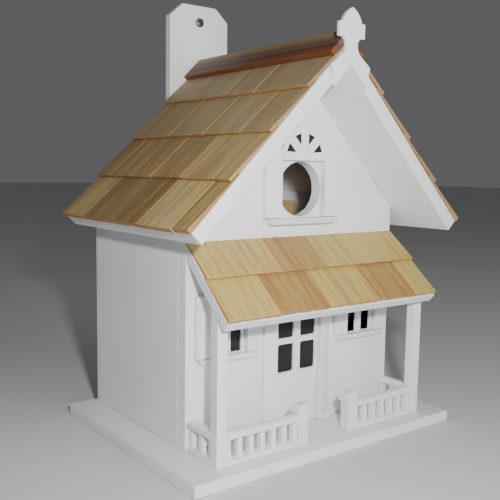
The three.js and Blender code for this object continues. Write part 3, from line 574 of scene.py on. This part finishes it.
def tear_rim(shape):
    inner_y = low_high("wall_front")[1][1]
    torn = 0
    for v in shape.verts:
        x, y, z = v.co / MM
        on_rim = abs(math.hypot(x, z - HOLE_Z) - HOLE_R) < RIM_REACH
        if on_rim and y > inner_y - 0.7:
            pull = 1 - abs(noise.noise(Vector((x * 0.9, 7.0, z * 0.9)))) * TEAR
            v.co.x *= pull
            v.co.z = (HOLE_Z + (z - HOLE_Z) * pull) * MM
            torn += 1
    print("points torn at the hole's inner rim:", torn)


# %% [markdown]
# The walls are painted outside, on their edges and in the entry hole, and left bare on the nest
# side. Each wall's bare faces are the ones that point to the middle of the nest, so one direction
# for each wall is enough to find them.

# %% Walls
NEST_SIDE = {
    "wall_front": (0, 1, 0), "wall_back": (0, -1, 0),
    "wall_left": (1, 0, 0), "wall_right": (-1, 0, 0),
}
for node, inward in NEST_SIDE.items():
    shape = cad_copy(node)
    rounds = soften(shape, 0.4)
    if node == "wall_front":
        tear_rim(shape)
    mesh = finished_mesh(node + "_painted", shape, rounds, "z", paint,
                         inside=lambda face: face.normal.dot(Vector(inward)) > 0.9)
    place(node + "_painted", mesh, "house", "white_paint", node)
    print(node, "has", sum(f.material_index for f in mesh.polygons), "bare faces")

# %% [markdown]
# ## Clean-out door, button and small dark pieces
# The clean-out door and its hinge leaf move together, so they ride on the door's own body, and the
# turn button rides on its own. A piece that rides on the wrong body would stay behind when the
# door opens.

# %% Moving pieces, lights and metal
OTHERS = {
    "clean_out_door": (0.5, "x", paint, "clean_out_door", "white_paint"),
    "turn_button": (0.6, "z", paint, "turn_button", "white_paint"),
    "hinge_leaf_door": (0.15, "z", brass, "clean_out_door", "hinge_brass"),
    "hinge_leaf_wall": (0.15, "z", brass, "house", "hinge_brass"),
    "hinge_pin": (0.15, "z", steel, "house", "screw_steel"),
    "door_panes": (0.1, "z", black, "house", "black_pane"),
    "fanlight_pane": (0.1, "z", black, "house", "black_pane"),
    "window_panes_left": (0.1, "z", black, "house", "black_pane"),
    "window_panes_right": (0.1, "z", black, "house", "black_pane"),
}
for node, (radius, along, material, body, slot) in OTHERS.items():
    shape = cad_copy(node)
    rounds = soften(shape, radius)
    mesh = finished_mesh(node + "_finished", shape, rounds, along, material)
    place(node + "_finished", mesh, body, slot, node)
print(len(OTHERS), "other pieces")

# %% [markdown]
# ## Screws and nails
# A screw is a turned shape: its outline, from the middle of the head to the point, goes round an
# axis. The head is a low dome, and the cross for the driver is pressed into it by pushing down the
# points that lie in two narrow arms. Nails are the same shape without the cross.

# %% Turning a screw
def turned(outline, around=32):
    """A closed shape from [radius, depth] pairs, depth counted inwards from the top of the head."""
    shape = bmesh.new()
    rings = []
    for radius, depth in outline:
        turns = [math.tau * i / around for i in range(around)]
        rings.append([shape.verts.new((radius * math.cos(t), radius * math.sin(t), -depth)) for t in turns])
    top = shape.verts.new((0, 0, -outline[0][1]))
    bottom = shape.verts.new((0, 0, -outline[-1][1]))
    for i in range(around):
        j = (i + 1) % around
        shape.faces.new((top, rings[0][i], rings[0][j]))
        shape.faces.new((bottom, rings[-1][j], rings[-1][i]))
        for upper, lower in zip(rings, rings[1:]):
            shape.faces.new((upper[i], lower[i], lower[j], upper[j]))
    bmesh.ops.recalc_face_normals(shape, faces=shape.faces)
    return shape


# %% [markdown]
# The head's outline is a quarter of a circle made low, then a short rim and the shank. The cross
# is deepest in the middle, and only points near an arm move.

# %% The head and its cross
def press_cross(shape, reach, width, deep):
    for v in shape.verts:
        beside, outward = sorted((abs(v.co.x), abs(v.co.y)))
        if beside < width and outward < reach and v.co.z > -deep:
            v.co.z -= deep * (1 - outward / reach) + deep * 0.35


def head_outline(radius, height, shank, length, steps=9):
    turns = [math.pi / 2 * (i + 1) / steps for i in range(steps)]
    dome = [(radius * math.sin(t), height * 0.6 * (1 - math.cos(t))) for t in turns]
    rim = [(radius * 0.99, height * 0.9), (radius * 0.9, height)]
    return dome + rim + [(shank, height), (shank, length)]


print("a head's outline has", len(head_outline(3.5, 1.9, 1.7, 12)), "points")

# %% [markdown]
# A fastener is turned at the middle of the scene with its head facing up, then swung round to face
# outward and moved to its place. It is drawn in millimetres, so the last step makes it metres.

# %% One fastener
def fastener(name, at, outward, sizes, cross, material, body, slot, *nodes):
    radius, height, shank, length = sizes
    shape = turned(head_outline(radius, height, shank, length))
    if cross:
        press_cross(shape, radius * 0.62, radius * 0.17, height * 0.45)
    facing = Vector(outward).to_track_quat("Z", "Y").to_matrix().to_4x4()
    facing.translation = Vector(at)
    shape.transform(facing)
    shape.transform(Matrix.Scale(MM, 4))
    mesh = finished_mesh(name, shape, set(), "y", material)
    return place(name, mesh, body, slot, *nodes)


# %% [markdown]
# The places and sizes of the big screws and the nails are read from their CAD nodes, so they stay
# right if the CAD changes. The head's proportions are the same for all four.

# %% Placing the screws and nails
def fasten(node, outward, cross, material, slot):
    low, high = low_high(node)
    top = high[1] if outward > 0 else low[1]
    at = ((low[0] + high[0]) / 2, top, (low[2] + high[2]) / 2)
    radius = (high[0] - low[0]) / 2
    sizes = (radius, radius * 0.55, radius * 0.5, high[1] - low[1])
    fastener(node + "_turned", at, (0, outward, 0), sizes, cross, material, "house", slot, node)


fasten("mounting_screw", -1, True, steel, "screw_steel")
fasten("turn_button_screw", 1, True, steel, "screw_steel")
fasten("finial_nail_left", -1, False, paint, "painted_nail")
fasten("finial_nail_right", -1, False, paint, "painted_nail")

# %% [markdown]
# The hinge's own small screws aren't in the CAD model, so they are set out on each leaf by how far
# up it they are and how far from the pin: three in the wall and three in the door. Those on the
# door's leaf ride on the door.

# %% The hinge's small screws
HINGE_SCREW = (1.5, 0.7, 0.8, 1.3)
SCREWS_ON_LEAF = ((0.14, 6.2), (0.5, 8.2), (0.86, 6.2))
LEAF_GAP, LEAF_T, HEAD_PROUD = 0.3, 1.0, 0.45
pin_low, pin_high = low_high("hinge_pin")
pin_x = (pin_low[0] + pin_high[0]) / 2
head_y = low_high("wall_back")[1][1] + LEAF_GAP + LEAF_T + HEAD_PROUD
for leaf, body, side in (("hinge_leaf_wall", "house", 1), ("hinge_leaf_door", "clean_out_door", -1)):
    low, high = low_high(leaf)
    for number, (share, from_pin) in enumerate(SCREWS_ON_LEAF):
        at = (pin_x + side * from_pin, head_y, low[2] + (high[2] - low[2]) * share)
        fastener(f"{leaf}_screw_{number + 1}", at, (0, 1, 0), HINGE_SCREW, True, steel, body, "screw_steel")
print("the hinge screws stand either side of x", round(pin_x, 1), "mm")

# %% [markdown]
# ## A slope to lay shingles on
# Shingles are easiest to think of on their own slope: "up" runs up the roof, "out" away from it,
# and "along" from one end of a row to the other. The CAD row is read in those directions, which
# gives the row's lower end, its thickness and every saw-cut between two shingles.

# %% Reading a CAD row on its slope
NEAR_BUTT = 0.4
NEAR_TIP = 2.5


def read_row(node, up, along):
    out = along.cross(up) if along.cross(up).z > 0 else up.cross(along)
    points = [v.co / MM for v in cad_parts[node].data.vertices]
    flat = [(p.dot(along), p.dot(up), p.dot(out)) for p in points]
    butt = min(s for _, s, _ in flat)
    tip = max(s for _, s, _ in flat)
    at_butt = [h for _, s, h in flat if s < butt + NEAR_BUTT]
    at_tip = [h for _, s, h in flat if s > tip - NEAR_TIP]
    ends = sorted({round(a, 2) for a, s, _ in flat if s < butt + NEAR_BUTT})
    return {
        "up": up, "along": along, "out": out, "butt": butt, "tip": tip,
        "spans": list(zip(ends[0::2], ends[1::2])),
        "butt_low": min(at_butt), "butt_high": max(at_butt),
        "tip_low": min(at_tip), "tip_high": max(at_tip)}


row = read_row("shingles_left_1", Vector((1, 0, 1)).normalized(), Vector((0, 1, 0)))
thick = round(row["butt_high"] - row["butt_low"], 2)
print("first row:", len(row["spans"]), "shingles, thickness", thick, "mm at the butt")

# %% [markdown]
# ## One shingle
# A shingle is a thin wedge. It is built as a grid of points so that it can be a little wavy, with
# a lower end that isn't quite straight, and its rim is then rounded. Only inward moves are used,
# so the roof stays the size the CAD says.

# %% A wavy grid for one shingle
ACROSS_STEPS = 22
UP_STEPS = 8
SETBACK = 0.9
TILT = 0.35
WAVE = 0.22


def wedge_grid(row, span, dice):
    shape = bmesh.new()
    a0, a1 = span
    length = row["tip"] - row["butt"]
    setback = dice.uniform(0.0, SETBACK)
    tilt = dice.uniform(-TILT, TILT)
    seed = dice.uniform(0, 500)
    layers = []
    for low, high in ((row["butt_low"], row["tip_low"]), (row["butt_high"], row["tip_high"])):
        rows = []
        for j in range(UP_STEPS + 1):
            t = j / UP_STEPS
            line = []
            for i in range(ACROSS_STEPS + 1):
                u = i / ACROSS_STEPS
                a = a0 + (a1 - a0) * u
                s = row["butt"] + length * t
                ragged = abs(noise.noise(Vector((a * 0.55, seed, low))))
                s += (setback + tilt * (u - 0.5) + abs(tilt) / 2) * (1 - t) + (ragged if j == 0 else 0)
                h = low + (high - low) * t
                if low == row["butt_high"]:
                    h -= abs(noise.noise(Vector((a * 0.12, s * 0.06, seed)))) * WAVE
                line.append(shape.verts.new((row["along"] * a + row["up"] * s + row["out"] * h) * MM))
            rows.append(line)
        layers.append(rows)
    return shape, layers, seed


trial = wedge_grid(row, row["spans"][0], random.Random(1))[0]
print("one shingle's grid has", len(trial.verts), "points")
trial.free()

# %% [markdown]
# The grid has two layers, the underside and the face. Faces are added over each, and round the rim
# between them, so that the wedge is closed. The shingle then gets its attributes: its grain starts
# at a different place for every piece, so no two show the same wood.

# %% Closing and laying a shingle
RIM_ROUND = 0.28
FACES_AWAY = 0.7
SIDE_SHARE = 0.6


def close_wedge(shape, layers):
    bottom, top = layers
    steps, across = len(top) - 1, len(top[0]) - 1
    for j in range(steps):
        for i in range(across):
            shape.faces.new((top[j][i], top[j][i + 1], top[j + 1][i + 1], top[j + 1][i]))
            shape.faces.new((bottom[j][i], bottom[j + 1][i], bottom[j + 1][i + 1], bottom[j][i + 1]))
        for i in (0, across):
            shape.faces.new((bottom[j][i], top[j][i], top[j + 1][i], bottom[j + 1][i]))
    for i in range(across):
        for j in (0, steps):
            shape.faces.new((bottom[j][i], bottom[j][i + 1], top[j][i + 1], top[j][i]))
    bmesh.ops.recalc_face_normals(shape, faces=shape.faces)


def lay_shingle(name, row, span, tone, faded, dice, material, slot, node):
    shape, layers, seed = wedge_grid(row, span, dice)
    close_wedge(shape, layers)
    rounds = soften(shape, RIM_ROUND, segments=1, sharp=50)
    mesh = edged_mesh(name, shape, rounds)
    points = [v.co / MM for v in mesh.vertices]
    middle = sum(span) / 2
    up, along, out = row["up"], row["along"], row["out"]
    local = [(p.dot(up) - row["butt"], p.dot(along) - middle, p.dot(out)) for p in points]
    write_grain(mesh, [(s + seed * 7, a + seed, h + seed) for s, a, h in local])
    write_numbers(mesh, "tone", [tone] * len(points))
    write_numbers(mesh, "faded", [faded] * len(points))
    at_end = [abs(f.normal.dot(up)) > FACES_AWAY for f in mesh.polygons]
    at_side = [abs(f.normal.dot(along)) > FACES_AWAY for f in mesh.polygons]
    write_numbers(mesh, "end", [max(end, SIDE_SHARE * side) for end, side in zip(at_end, at_side)], "FACE")
    mesh.materials.append(material)
    return place(name, mesh, "house", slot, node)


# %% [markdown]
# ## The main roof
# Four rows on each slope. Neighbouring shingles come from different boards, so their tones are
# written out row by row, from the back of the house to the front. The left slope shows most, and
# its lowest row has one wide brown piece near the middle.

# %% Laying the main roof
TONES = {
    "shingles_left_1": [0.34, 0.66, 0.10, 0.52],
    "shingles_left_2": [0.60, 0.50, 0.56, 0.36],
    "shingles_left_3": [0.50, 0.46, 0.40, 0.52],
    "shingles_left_4": [0.44, 0.50, 0.55, 0.62],
    "shingles_right_1": [0.50, 0.30, 0.66, 0.38],
    "shingles_right_2": [0.35, 0.62, 0.45, 0.55],
    "shingles_right_3": [0.58, 0.40, 0.65, 0.30],
    "shingles_right_4": [0.45, 0.60, 0.35, 0.52],
}
FADED = {"1": 0.0, "2": 0.2, "3": 0.7, "4": 0.8}
dice = random.Random(11)
count = 0
for node, tones in TONES.items():
    slope = 1 if "left" in node else -1
    row = read_row(node, Vector((slope, 0, 1)).normalized(), Vector((0, 1, 0)))
    faded = FADED[node[-1]]
    for number, span in enumerate(reversed(row["spans"])):
        name = f"{node}_{number + 1}"
        lay_shingle(name, row, span, tones[number % len(tones)], faded, dice, cedar, "cedar_shingle", node)
        count += 1
print(count, "cedar shingles")

# %% [markdown]
# ## The porch roof
# Two rows of smooth pale pine, lighter and glossier than the main roof, with brown heartwood in
# every second piece.

# %% Laying the porch roof
PORCH_TONES = {
    "porch_shingles_lower": [0.08, 0.80, 0.12, 0.72, 0.10],
    "porch_shingles_upper": [0.18, 0.82, 0.22],
}
PORCH_PITCH = math.radians(42.5)
porch_up = Vector((0, math.cos(PORCH_PITCH), math.sin(PORCH_PITCH)))
for node, tones in PORCH_TONES.items():
    row = read_row(node, porch_up, Vector((1, 0, 0)))
    for number, span in enumerate(row["spans"]):
        lay_shingle(f"{node}_{number + 1}", row, span, tones[number], 0.0, dice, pine, "pine_shingle", node)
    print(node, len(row["spans"]), "shingles")

# %% [markdown]
# ## Laying the ridge strips
# The strips keep their CAD shape with worn corners. Their coordinates run along the ridge, across
# the strip from its lower edge, and out of the roof, so that the finish can band them.

# %% Laying the ridge strips
for side, slope in (("left", 1), ("right", -1)):
    node = f"ridge_cap_{side}"
    up = Vector((slope, 0, 1)).normalized()
    shape = cad_copy(node)
    rounds = soften(shape, 0.5)
    mesh = edged_mesh(node + "_strip", shape, rounds)
    lowest = min((v.co / MM).dot(up) for v in mesh.vertices)
    write_grain(mesh, [(v.co.y / MM, (v.co / MM).dot(up) - lowest, v.co.x / MM) for v in mesh.vertices])
    mesh.materials.append(ridge_cedar)
    place(node + "_strip", mesh, "house", "ridge_cedar", node)
    print(node, "starts", round(lowest, 1), "mm up the slope")

# %% [markdown]
# ## Floor and light
# The lamps are those of a small studio. A very small one stands close to the camera, so that it
# shines into the entry hole and draws firm shadows under the trim. A large one stands in front of
# the house and to the right, so that the porch side is bright and the left wall falls into a soft
# shade. A weaker one hangs over the roof.

# %% Lamps
def lamp(name, place_at, aim, size, watts, colour=(1, 1, 1)):
    light = bpy.data.lights.new(name, "AREA")
    light.shape = "SQUARE"
    light.size = size
    light.energy = watts
    light.color = colour
    holder = bpy.data.objects.new(name, light)
    holder.location = place_at
    holder.rotation_euler = (Vector(aim) - Vector(place_at)).to_track_quat("-Z", "Y").to_euler()
    bpy.context.scene.collection.objects.link(holder)


lamp("near_lamp", (-0.28, -0.456, 0.258), (0.0, -0.04, 0.13), 0.028, 3.5, (1.0, 0.99, 0.97))
lamp("front_lamp", (0.55, -1.45, 0.50), (0, 0, 0.15), 1.0, 9)
lamp("top_lamp", (-0.15, -0.2, 1.6), (0, 0, 0.1), 1.2, 1.0)
print("lamps:", [light.name for light in bpy.data.lights])

# %% [markdown]
# The floor is one large square a hair below the base board, so that the two never share a plane. A
# faint mottle keeps it from being one flat colour.

# %% Floor
FLOOR_HALF = 8.0
FLOOR_DROP = 0.0002


def make_floor(half):
    corners = [(-half, -half, 0), (half, -half, 0), (half, half, 0), (-half, half, 0)]
    mesh = bpy.data.meshes.new("floor")
    mesh.from_pydata(corners, [], [(0, 1, 2, 3)])
    material = start_finish("floor")
    place_on = Link.node("ShaderNodeTexCoord", {}, {}, output="Object")
    mottle = cloud(stretched(place_on, 3, 3, 3), detail=3.0)
    colour = blended(mottle, (0.60, 0.60, 0.60), (0.65, 0.65, 0.65))
    close_finish(colour, 0.8 + mottle * 0.1, bumped(mottle, 0.05, 0.2))
    mesh.materials.append(material)
    floor = bpy.data.objects.new("floor", mesh)
    floor.location.z = -FLOOR_DROP
    bpy.context.scene.collection.objects.link(floor)
    floor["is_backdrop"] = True


make_floor(FLOOR_HALF)
print("the floor is", 2 * FLOOR_HALF, "m across")

# %% [markdown]
# The world lights every side a little, like the walls of a room, so that no side goes black.

# %% World
world = bpy.data.worlds.new("world")
world.use_nodes = True
sky = world.node_tree.nodes["Background"]
sky.inputs["Color"].default_value = (0.75, 0.76, 0.78, 1)
sky.inputs["Strength"].default_value = 0.15
bpy.context.scene.world = world
print("world strength", round(sky.inputs["Strength"].default_value, 2))

# %% [markdown]
# ## Finish
# The looks mustn't change the size of the house, so both boxes are written out and compared.

# %% Check the size and finish
looks_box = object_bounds()
for corner, looks, cad in zip(("low", "high"), looks_box, cad_box):
    print(corner, "corner, looks minus CAD in mm:", [round((a - b) / MM, 2) for a, b in zip(looks, cad)])
